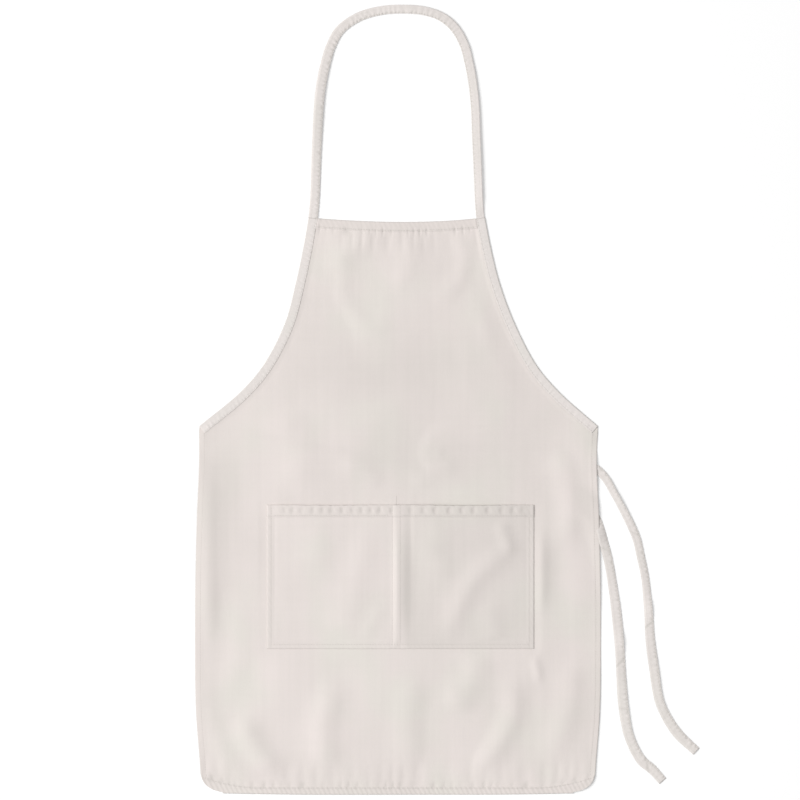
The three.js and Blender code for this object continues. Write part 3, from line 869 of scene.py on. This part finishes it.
class Cloth:
    """Heights of the panel at a set of places, kept so that each distance is worked out once."""

    def __init__(self, x, y):
        """Distances from each place to the edges of the panel, and how far along them."""
        self.x, self.y = x, y
        self.skirt, self.skirt_s = distance_to(x, y, skirt)
        self.bib, self.bib_s = distance_to(x, y, bib_line)
        left, left_s = distance_to(x, y, left_armhole)
        right, right_s = distance_to(x, y, right_armhole)
        self.arm = np.minimum(left, right)
        self.arm_s = np.where(left < right, left_s, right_s)
        self.bottom = y - bottom_seam(x)
        self.low = 1 - ease(self.bottom, 0.7 * MM, 1.9 * MM)

    def under(self):
        """The cloth's underside: folds and waves, quiet at the armholes, plus the lift over the ties and into
        the bindings."""
        free = fold_relief(self.x, self.y, PANEL_FOLDS) + wave_relief(self.x, self.y) + 0.45 * MM
        quiet = ease(self.arm, 8 * MM, 45 * MM) * ease(self.bib, 2 * MM, 30 * MM)
        quiet = quiet * (0.4 + 0.6 * ease(self.skirt, 0, 35 * MM)) * (1 - 0.5 * under_pocket(self.x, self.y))
        hem_wave = 0.5 * MM * (1 - ease(self.skirt, 4 * MM, 40 * MM))
        hem_wave = hem_wave * (0.5 + 0.5 * wobble(self.skirt_s, 0.13, 2.0)) * ease(self.arm, 10 * MM, 60 * MM)
        lift = 0.5 * MM * (1 - ease(self.arm, binding_sewn, 17 * MM))
        return lifted(free) * quiet + hem_wave + np.maximum(lift, tie_ridge(self.x, self.y))

    def thickness(self):
        """One layer of cloth, three in the hems, rounded at the folded edges. The sides' hems are pressed
        flat."""
        out_of_binding = ease(self.arm, 10 * MM, 12.5 * MM)
        edge_hem = np.maximum(0.16 * (1 - ease(self.skirt, side_hem - 1 * MM, side_hem + 3 * MM)), self.low)
        top_hem = 1 - ease(self.bib, bib_hem - 0.4 * MM, bib_hem + 0.7 * MM)
        thick = cloth_thick + hem_extra * out_of_binding * np.maximum(edge_hem, top_hem)
        return thick * (0.3 + 0.7 * quarter_round(np.minimum(self.skirt, self.bib), 1.1 * MM))

    def gathers(self):
        """Dips along the hems' rows of stitches, and the dents and small gathers beside them."""
        edge = self.skirt - (side_hem - hem_seam_in)
        top = self.bib - (bib_hem - hem_seam_in)
        arm = self.arm - binding_sewn
        free = ease(self.arm, 11 * MM, 16 * MM)
        groove = 0.22 * bell(edge, seam_reach) * (1 - self.low)
        groove = groove + bell(top, seam_reach) + bell(self.bottom, seam_reach)
        beside = self.bottom_dents() * 1.0 * MM + self.bib_dents() * 0.85 * MM
        beside = beside + puckers(self.x, self.bottom - 14 * MM, 21 * MM, 0.4, 13 * MM, 0.7 * MM)
        beside = beside + puckers(self.bib_s, top - 13 * MM, 17 * MM, 1.1, 13 * MM, 0.6 * MM)
        beside = beside + puckers(self.arm_s, arm - 3 * MM, 10 * MM, 1.3, 4 * MM, 0.2 * MM)
        return (beside - 0.24 * MM * groove) * free

    def bottom_dents(self):
        """The dents just above the bottom hem's stitches."""
        return dents(self.x, self.bottom - 3.6 * MM, 12.6 * MM, 0.7, 4 * MM)

    def bib_dents(self):
        """The dents just below the bib hem's stitches."""
        return dents(self.bib_s, self.bib - bib_hem - 0.8 * MM, 10.5 * MM, 3.1, 4.2 * MM)

    def gather(self):
        """How strongly the cloth is drawn into small slant gathers: in the bottom hem and the bib's hem."""
        top = 0.35 * (1 - ease(self.bib, bib_hem - 1 * MM, bib_hem + 3 * MM))
        return np.maximum(0.85 * self.low, top * ease(self.arm, 11 * MM, 15 * MM))

    def front(self):
        """The cloth's upper side."""
        return self.under() + self.thickness() + self.gathers()

    def shade(self):
        """Painted shade on the cloth: along its seams' grooves, at its folded edges, beside the bindings'
        inner edges, in the dents by the seams, and in the wide patches of painted shade and painted light;
        the hems are a little deeper."""
        top = np.abs(self.bib - (bib_hem - hem_seam_in))
        seam = 0.36 * bell(np.minimum(np.abs(self.bottom), top), seam_reach)
        seam = seam + 0.05 * bell(self.skirt - side_hem + hem_seam_in, seam_reach)
        hem = 0.14 * np.maximum(self.low, 1 - ease(self.bib, bib_hem, bib_hem + 1 * MM))
        binding = 0.3 * bell(self.arm - 11.2 * MM, seam_reach)
        rim = 0.7 * bell(np.minimum(self.skirt, self.bib), seam_reach)
        painted_patches = sum(depth * np.exp(-(((self.x / MM - x) / wide) ** 2) - ((self.y / MM - y) / high) ** 2)
                    for x, y, wide, high, depth in PAINTED_LIGHT_AND_SHADE)
        return seam + hem + binding + rim + painted_patches - 0.9 * self.bottom_dents() - 0.5 * self.bib_dents()


def under_pocket(x, y):
    """1 under the pocket and 0 away from it."""
    reach = 12 * MM
    across = ease(x, pocket_low.x - reach, pocket_low.x) * (1 - ease(x, pocket_high.x, pocket_high.x + reach))
    down = ease(y, pocket_low.y - reach, pocket_low.y) * (1 - ease(y, pocket_high.y, pocket_high.y + reach))
    return across * down


# ---- Body panel ----

def graded(near, spacing, length, far=None):
    """Places from 0 to a length: a chosen close set at each end and even steps between."""
    near = np.array(near) * MM
    far = near if far is None else np.array(far) * MM
    count = int(round((length - near[-1] - far[-1]) / spacing))
    middle = np.linspace(near[-1], length - far[-1], count + 1)[1:-1]
    return np.concatenate([near, middle, length - far[::-1]])


SIDE_STEPS = [0, 0.3, 0.8, 1.5, 2.6, 4.0, 5.2, 5.9, 6.4, 6.9, 7.5, 8.0, 8.6, 9.4, 10.4, 11.4, 12.4, 14]
BIB_STEPS = [0, 0.3, 0.8, 1.6, 3, 5, 7, 8.8, 9.8, 10.4, 11, 11.6, 12.2, 12.8, 13.8, 15.4, 17.4, 20]


def side_edges(y):
    """The left and right edges of the cloth at each height."""
    left = np.vstack([left_raw, left_side[1:], left_corner[1:]])[::-1]
    right = np.vstack([right_raw[::-1], right_side[1:], right_corner[1:]])[::-1]
    return np.interp(y, left[:, 1], left[:, 0]), np.interp(y, right[:, 1], right[:, 0])


def panel_places():
    """A grid of places over the panel: rows from the bib down, following its dipped top and bowed bottom, and
    columns at set distances in from each side."""
    length = bib_top - bottom_edge
    down = graded(BIB_STEPS, 4.2 * MM, length, SIDE_STEPS)
    flat_y = bib_top - down
    wide = 2 * half_width
    across = graded(SIDE_STEPS, 2.3 * MM, wide) / wide
    edge_count = len(SIDE_STEPS)
    bow_start = bottom_line[0, 1]
    left, right = side_edges(np.maximum(flat_y, bow_start))
    inset = np.array(SIDE_STEPS) * MM
    middle = (across[edge_count:-edge_count] * wide - inset[-1]) / (wide - 2 * inset[-1])
    x = np.hstack([
        left[:, None] + inset,
        (left + inset[-1])[:, None] + (right - left - 2 * inset[-1])[:, None] * middle,
        right[:, None] - inset[::-1],
    ])
    dip_line = bib_line[::-1]
    dip = np.interp(x[0], dip_line[:, 0], dip_line[:, 1]) - bib_top
    fade = 1 - ease(down, 20 * MM, 120 * MM)
    y = flat_y[:, None] + dip * fade[:, None]
    low = np.interp(x[-1], bottom_line[:, 0], bottom_line[:, 1])
    rise = low - bottom_edge
    lowest = 1 - ease(length - down, 1 * MM, 30 * MM)
    return x, y + rise * lowest[:, None]


panel_x, panel_y = panel_places()
panel_cloth = Cloth(panel_x, panel_y)
panel_under = panel_cloth.under()
panel_front = panel_cloth.front()
panel_front = np.maximum(panel_front, panel_under + 0.1 * MM)
panel = sheet_mesh("front_panel_cloth", np.dstack([panel_x, panel_y, panel_front]),
                   np.dstack([panel_x, panel_y, panel_under]), twill, panel_cloth.shade(),
                   panel_cloth.gather())
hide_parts("body_panel")
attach(panel, "apron")


# ---- Bindings ----

def make_binding(name, armhole, node, seed):
    """The tape folded over one armhole. Its section is a C: the front flange from its inner edge out to the
    fold, round it, back along the rear flange, and the same way again on the inside, a tape's thickness away
    from the cloth it clasps."""
    line = even_steps(armhole)
    s = travelled(line)
    inset = np.array([10.98, 10.9, 10.6, 10.1, 9.5, 8.9, 8, 6.5, 5, 3.5, 2.2, 1.3, 0.7, 0.3, 0.08]) * MM
    inner = np.array([10.95, 8, 5, 2.5, 1.3, 0.75]) * MM
    gap = np.concatenate([inset, inset[::-1], inner, inner[::-1]])
    outside = np.concatenate([np.ones(2 * len(inset)), np.zeros(2 * len(inner))])
    side = np.repeat([1.0, -1.0, -1.0, 1.0], [len(inset), len(inset), len(inner), len(inner)])
    left = left_of(line)
    x = line[:, :1] + left[:, :1] * gap
    y = line[:, 1:2] + left[:, 1:] * gap
    hold = np.maximum(gap, 1.2 * MM)
    cloth = Cloth(line[:, :1] + left[:, :1] * hold, line[:, 1:2] + left[:, 1:] * hold)
    under = cloth.under()
    over = under + cloth.thickness()
    middle, half = (under + over) / 2, (over - under) / 2 + 0.03 * MM
    outer_turn = quarter_round(gap, 1.1 * MM)
    inner_turn = quarter_round(gap - 0.7 * MM, 0.6 * MM)
    edge = 0.35 + 0.65 * quarter_round(tape_width - gap, 0.5 * MM)
    full = half * outer_turn + tape_thick * np.where(gap > 9 * MM, edge, outer_turn)
    reach = np.where(outside > 0, full, half * inner_turn)
    front = (outside > 0) & (side > 0)
    dips = 0.15 * MM * wobble(s, 5.6 * MM, seed)[:, None] * bell(gap - 8.6 * MM, 2.6 * MM)
    dips = dips + 0.1 * MM * wobble(s, 9.4 * MM, seed + 1)[:, None] * np.sin(math.pi * gap / tape_width)
    groove = bell(gap - binding_sewn, 0.6 * MM)
    z = middle + side * reach + np.where(front, dips - 0.16 * MM * groove, 0)
    rings = np.stack(np.broadcast_arrays(x, y, np.maximum(z, 0.02 * MM)), 2)
    u = np.concatenate([gap[:len(inset)], -gap[len(inset):2 * len(inset)], -gap[2 * len(inset):]])
    uv = np.stack(np.broadcast_arrays(u[None, :], s[:, None]), 2)
    # Painted shade along the sewn row's groove, at the tape's inner edge on the cloth and along its outer
    # fold.
    tone = 0.2 * groove + 0.16 * bell(gap - tape_width, 0.4 * MM) + 0.75 * bell(gap, 1.0 * MM)
    drawn = np.where(front, 0.3 * bell(gap - 8 * MM, 3 * MM), 0.1)
    tone, drawn = [np.broadcast_to(values, rings.shape[:2]) for values in (tone, drawn)]
    piece = tube_mesh(name, rings, tape_twill, uv, tone, drawn)
    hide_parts(node)
    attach(piece, "apron")
    return rings


left_rings = make_binding("binding_tape_left", left_armhole, "binding_left", 0.4)
right_rings = make_binding("binding_tape_right", right_armhole, "binding_right", 2.9)
sewn_ring_point = 4  # which point of the binding's section lies on its sewn row
for side_name, rings in (("left", left_rings), ("right", right_rings)):
    row = rings[:, sewn_ring_point]
    make_stitches("binding_stitches_" + side_name, row[:, :2], row[:, 2], "binding_stitching_" + side_name)


# ---- Hem stitches ----

def on_cloth(line):
    """A row of places on the panel with the cloth's height at each."""
    return line, Cloth(line[:, 0], line[:, 1]).front()


def between(line, low, high):
    """The part of a line from one distance along it to another."""
    s = travelled(line)
    return line[(s >= low) & (s <= high)]


bib_row = even_steps(shifted(bib_line, bib_hem - hem_seam_in))
bib_room = tape_width + 0.6 * MM
bib_row = between(bib_row, bib_room, travelled(bib_row)[-1] - bib_room)
make_stitches("bib_hem_stitches", *on_cloth(bib_row), "bib_hem_stitching")
side_row = even_steps(shifted(skirt, side_hem - hem_seam_in))
side_row = side_row[side_row[:, 1] > bottom_seam(side_row[:, 0]) + 2.5 * MM]
half_count = int(np.argmax(np.linalg.norm(np.diff(side_row, axis=0), axis=1))) + 1
make_stitches("side_hem_stitches_left", *on_cloth(side_row[5:half_count]), "side_hem_stitching_left")
make_stitches("side_hem_stitches_right", *on_cloth(side_row[half_count:-5]), "side_hem_stitching_right")
bottom_x = np.linspace(-half_width, half_width, 500)
bottom_row = np.stack([bottom_x, bottom_seam(bottom_x)], 1)
bottom_left, bottom_right = side_edges(bottom_row[:, 1])
inside = (bottom_x > bottom_left + 1.5 * MM) & (bottom_x < bottom_right - 1.5 * MM)
make_stitches("bottom_hem_stitches", *on_cloth(bottom_row[inside]), "bottom_hem_stitching")

# ---- Pocket ----

pocket_sewn = 5.5 * MM  # the sides' and bottom's stitches, in from the edge
pocket_hem = 14.7 * MM
pocket_hem_sewn = 13.2 * MM
divider_left = -6.75 * MM
divider_right = 2.75 * MM
pocket_middle = -2 * MM
divider_crest_y = -0.222  # where the ridge between the compartments is highest
pocket_seam_reach = 0.8 * MM


# The dents in the pocket's top hem: where each one lies across, in millimetres, and how deep it is.
HEM_DENTS = [
    (-140, 0.45), (-130.3, 0.6), (-119.4, 0.5), (-105.3, 0.7), (-93.4, 0.7), (-82.3, 0.7), (-69.1, 0.75),
    (-56.4, 0.6), (-45, 0.7), (-33.9, 0.65), (-22.6, 0.85), (-8, 0.6), (16, 0.5), (31, 0.75), (45.7, 1.0),
    (63.4, 1.0), (78.8, 0.85), (93.2, 0.95), (110.9, 0.9), (127.9, 0.75), (142.1, 0.9), (154, 0.5),
]


class PocketCloth:
    """Heights of the pocket at a set of places."""

    def __init__(self, x, y):
        """The panel's height at each place, and distances in from the pocket's edges."""
        self.x, self.y = x, y
        self.base = Cloth(x, y).front()
        self.side = np.minimum(x - pocket_low.x, pocket_high.x - x)
        self.low = y - pocket_low.y
        self.top = pocket_high.y - y
        self.edge = np.minimum(self.side, self.low)

    def bulge(self, start, end, mouth, lean=1.0):
        """One compartment's own swell: a half sine across, to a power below one, that grows from the sewn
        bottom to the open mouth. A lean below 1 moves its crest towards the start."""
        across = np.sin(math.pi * np.clip((self.x - start) / (end - start), 0, 1) ** lean) ** 0.8
        up = ease(self.low, pocket_sewn, 34 * MM)
        tall = pocket_high.y - pocket_low.y
        return mouth * across * up * (0.45 + 0.55 * ease(self.low, 0.3 * tall, 0.95 * tall))

    def under(self):
        """The pocket's underside: the panel, the two compartments' swells with soft folds in them, and the
        ridge between them, whose height is a bell down the pocket."""
        left = self.bulge(pocket_low.x + pocket_sewn, divider_left, 1.5 * MM)
        right = self.bulge(divider_right + 14 * MM, pocket_high.x - pocket_sewn, 2.6 * MM, 0.55)
        middle = (divider_left + divider_right) / 2
        crest = self.x + 0.6 * MM
        spread = np.where(crest < 0, 4.6, 15) * MM
        tall = 0.7 * MM + 2.3 * MM * bell(self.y - divider_crest_y, 0.064)
        ridge = tall * bell(crest, spread)
        free = ease(self.edge, pocket_sewn, pocket_sewn + 9 * MM)
        held = 1 - bell(self.x - middle, 7.5 * MM, 4)
        folds = fold_relief(self.x, self.y, POCKET_FOLDS) * free * held
        swell = lifted(left + right + folds) * free
        return self.base + 0.06 * MM + swell + ridge * ease(self.low, 0, 12 * MM)

    def thickness(self):
        """One layer, two where the sides and bottom are turned under, and three in the top hem."""
        turned = 0.25 * MM * (1 - ease(self.edge, 7 * MM, 10 * MM))
        hem = hem_extra * (1 - ease(self.top, pocket_hem - 0.3 * MM, pocket_hem + 0.8 * MM))
        rim = 0.25 + 0.75 * quarter_round(np.minimum(self.edge, self.top), 1.2 * MM)
        return (cloth_thick + np.maximum(turned, hem)) * rim

    def spots(self):
        """The row of dents in the top hem, 1 deep at most, each a small bell, taller than it is wide."""
        across = bumps_at(self.x, [(place * MM, 2.3 * MM, depth) for place, depth in HEM_DENTS])
        return across * bell(self.top - 7.0 * MM, 4.0 * MM, 4)

    def rows(self):
        """Distances from the rows of stitches: the sides', the top hem's and the two at the divider."""
        return (self.side - pocket_sewn, self.top - pocket_hem_sewn, self.x - divider_left,
                self.x - divider_right)

    def gathers(self):
        """Dips along the rows of stitches, the dents in the top hem and the small gathers beside the rows."""
        depth = (0.09 * MM, 0.16 * MM, 0.2 * MM, 0.08 * MM)
        groove = -sum(deep * bell(row, pocket_seam_reach) for row, deep in zip(self.rows(), depth))
        hem = -1.15 * MM * self.spots()
        round_edge = self.x + np.where(self.low < self.side, 0, self.y)
        sides = puckers(round_edge, self.edge - pocket_sewn - 1.5 * MM, 11 * MM, 2.2, 3.5 * MM, 0.16 * MM)
        seam = puckers(self.y, np.abs(self.x - pocket_middle) - 7 * MM, 9 * MM, 1.1, 3.5 * MM, 0.22 * MM)
        return groove + hem + sides + seam

    def gather(self):
        """Small slant gathers along the top hem and faint ones at the sewn edges."""
        return np.maximum(0.16 * (1 - ease(self.top, pocket_hem - 1 * MM, pocket_hem + 2 * MM)),
                          0.25 * (1 - ease(self.edge, 5 * MM, 9 * MM)))

    def front(self):
        """The pocket's upper side, always a little above its underside."""
        under = self.under()
        return np.maximum(under + self.thickness() + self.gathers(), under + 0.12 * MM)

    def shade(self):
        """Painted shade on the pocket: along its rows of stitches, at its edges, in the dents, on the side of
        the middle ridge that lies away from the light, on the ridge's lit slope, and a little over its right
        half; its turned edges and hem are a little deeper."""
        row = np.min([np.abs(row) for row in self.rows()], axis=0)
        seam = 0.26 * bell(row, pocket_seam_reach)
        rim = 0.36 * bell(np.minimum(self.edge, self.top), 0.7 * MM)
        turned = 0.08 * np.maximum(1 - ease(self.edge, 8.6 * MM, 9.4 * MM),
                                   1 - ease(self.top, pocket_hem, pocket_hem + 0.6 * MM))
        lee = bell(self.x - 11 * MM, 9 * MM) * bell(self.y - divider_crest_y, 0.06, 4)
        right_half_shade = 0.33 * ease(self.x, 4 * MM, 16 * MM)
        # painted shade on the ridge's lit slope, which would else look too bright
        slope = 0.34 * bell(self.x + 2.7 * MM, 2.6 * MM)
        return seam + rim + turned + 0.8 * self.spots() + 0.56 * lee + right_half_shade + slope


POCKET_SIDE = [0, 0.3, 0.9, 2, 3.2, 4.2, 4.9, 5.5, 6.1, 6.8, 8, 8.8, 9.6, 11, 13]
POCKET_TOP = [0, 0.3, 0.9, 2, 3.4, 5, 6.8, 8.6, 10.2, 11.6, 12.4, 13, 13.5, 14.1, 14.7, 15.3, 16, 17, 18.6]


def pocket_places():
    """A grid over the pocket, closer at its edges and beside the two dividing rows. The mouth sags in each
    compartment as a squared sine, and is drawn up a little at its gathers."""
    wide, tall = pocket_high.x - pocket_low.x, pocket_high.y - pocket_low.y
    columns = pocket_low.x + graded(POCKET_SIDE, 2.0 * MM, wide)
    divider = np.arange(-14, 11, 0.8) * MM
    columns = np.concatenate([columns[columns < -15 * MM], divider, columns[columns > 11.5 * MM]])
    rows = pocket_high.y - graded(POCKET_TOP, 2.4 * MM, tall, POCKET_SIDE)
    x, y = np.meshgrid(columns, rows)
    left_share = np.clip((x - pocket_low.x) / (pocket_middle - pocket_low.x), 0, 1)
    right_share = np.clip((x - pocket_middle) / (pocket_high.x - pocket_middle), 0, 1)
    sag = 0.9 * MM * np.sin(math.pi * left_share) ** 2 + 1.3 * MM * np.sin(math.pi * right_share) ** 2
    scallop = 0.22 * MM * wobble(x, 13 * MM, 0.9)
    return x, y - (sag + scallop) * (1 - ease(pocket_high.y - y, 0, 60 * MM))


pocket_x, pocket_y = pocket_places()
pocket_cloth = PocketCloth(pocket_x, pocket_y)
pocket_under = pocket_cloth.under()
pocket = sheet_mesh("pocket_cloth", np.dstack([pocket_x, pocket_y, pocket_cloth.front()]),
                    np.dstack([pocket_x, pocket_y, pocket_under]), twill, pocket_cloth.shade(),
                    pocket_cloth.gather())
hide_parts("pocket_panel")
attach(pocket, "apron")


def on_pocket(points):
    """A row of places on the pocket, at even steps, with the pocket's height at each."""
    line = even_steps(np.array(points))
    return line, PocketCloth(line[:, 0], line[:, 1]).front()


seam_left, seam_right = pocket_low.x + pocket_sewn, pocket_high.x - pocket_sewn
seam_low = pocket_low.y + pocket_sewn
hem_seam = pocket_high.y - pocket_hem_sewn
rim = pocket_high.y - 1.5 * MM
edge_points = [(seam_left, rim), (seam_left, seam_low), (seam_right, seam_low), (seam_right, rim)]
make_stitches("pocket_edge_stitches", *on_pocket(edge_points), "pocket_edge_stitching")
hem_ends = {"left": (seam_left, divider_left), "right": (divider_right, seam_right)}
for side_name, (start, end) in hem_ends.items():
    row = on_pocket([(start + 2 * MM, hem_seam), (end - 2 * MM, hem_seam)])
    make_stitches("pocket_hem_stitches_" + side_name, *row, "pocket_hem_stitching_" + side_name)
for side_name, place in (("left", divider_left), ("right", divider_right)):
    make_stitches("pocket_divider_stitches_" + side_name, *on_pocket([(place, rim), (place, seam_low)]),
                  "pocket_divider_stitching_" + side_name)
tack_ends = (0.3 * MM, 11.3 * MM)  # above the pocket's top edge
tack_line = even_steps(np.array([(pocket_middle, pocket_high.y + up) for up in tack_ends]))
make_stitches("pocket_divider_tack_stitches", *on_cloth(tack_line), "pocket_divider_tack", pitch=0.7 * MM,
              length=1.0 * MM, first=0.1 * MM)

# ---- Neck strap ----

strap_line = even_steps(neck_line, 1.1 * MM)
strap_s = travelled(strap_line)
strap_total = strap_s[-1]
foot_near, foot_far = 4 * MM, 30 * MM  # where the strap's own relief begins and is full, from each foot
strap_ends = ease(strap_s, foot_near, foot_far)
strap_ends = strap_ends * (1 - ease(strap_s, strap_total - foot_far, strap_total - foot_near))
# Each is a list of bumps: where along the strap, how far each way, and how much.
strap_roll = bumps_at(strap_s, [(0.10, 0.07, 0.05), (0.50, 0.09, 0.13), (0.62, 0.07, 0.15),
                                (0.36, 0.05, -0.07)])
strap_widths = strap_width + bumps_at(strap_s, [(0.16, 0.07, 0.5 * MM), (0.50, 0.10, -0.9 * MM),
                                                (0.61, 0.06, -1.1 * MM), (0.32, 0.05, -0.7 * MM)])
strap_crown = bumps_at(strap_s, [(0.06, 0.05, 0.35 * MM), (0.15, 0.07, 0.55 * MM), (0.30, 0.06, 0.25 * MM)])
strap_crown = strap_crown * strap_ends
strap_base = bumps_at(strap_s, [(0.15, 0.07, 1.3 * MM), (0.35, 0.07, 1.2 * MM), (0.56, 0.08, 0.8 * MM)])
strap_base = (0.02 * MM + strap_base) * strap_ends
# The strap's feet are as thick as the bindings they grow out of.
thick_reach = 25 * MM
foot_left, foot_right = [rings[np.argmax(rings[:, 0, 1]), :, 2].max() for rings in (left_rings, right_rings)]
strap_high = strap_thick + (foot_left - strap_thick) * (1 - ease(strap_s, 0, thick_reach))
strap_high = strap_high + (foot_right - strap_thick) * ease(strap_s, strap_total - thick_reach, strap_total)
strap_seed = 3.3
strap_rings = tape_rings(strap_line, strap_widths, strap_high[:, None], strap_roll * strap_ends, strap_base,
                         strap_seed, -sewn_share, strap_crown)
strap = tube_mesh("neck_strap_tape", strap_rings, tape_twill, tape_uv(strap_line, strap_width),
                  tape_shade(strap_line, -sewn_share, strap_seed),
                  tape_gather(strap_rings.shape[:2], -sewn_share))
strap_row = strap_rings[:, sewn_vertex(-sewn_share)]
strap_stitches = make_stitches("neck_strap_stitches", strap_row[:, :2], strap_row[:, 2], body=None)
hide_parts("neck_strap")
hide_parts("neck_strap_stitching")
for piece in (strap, strap_stitches):
    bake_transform(piece)
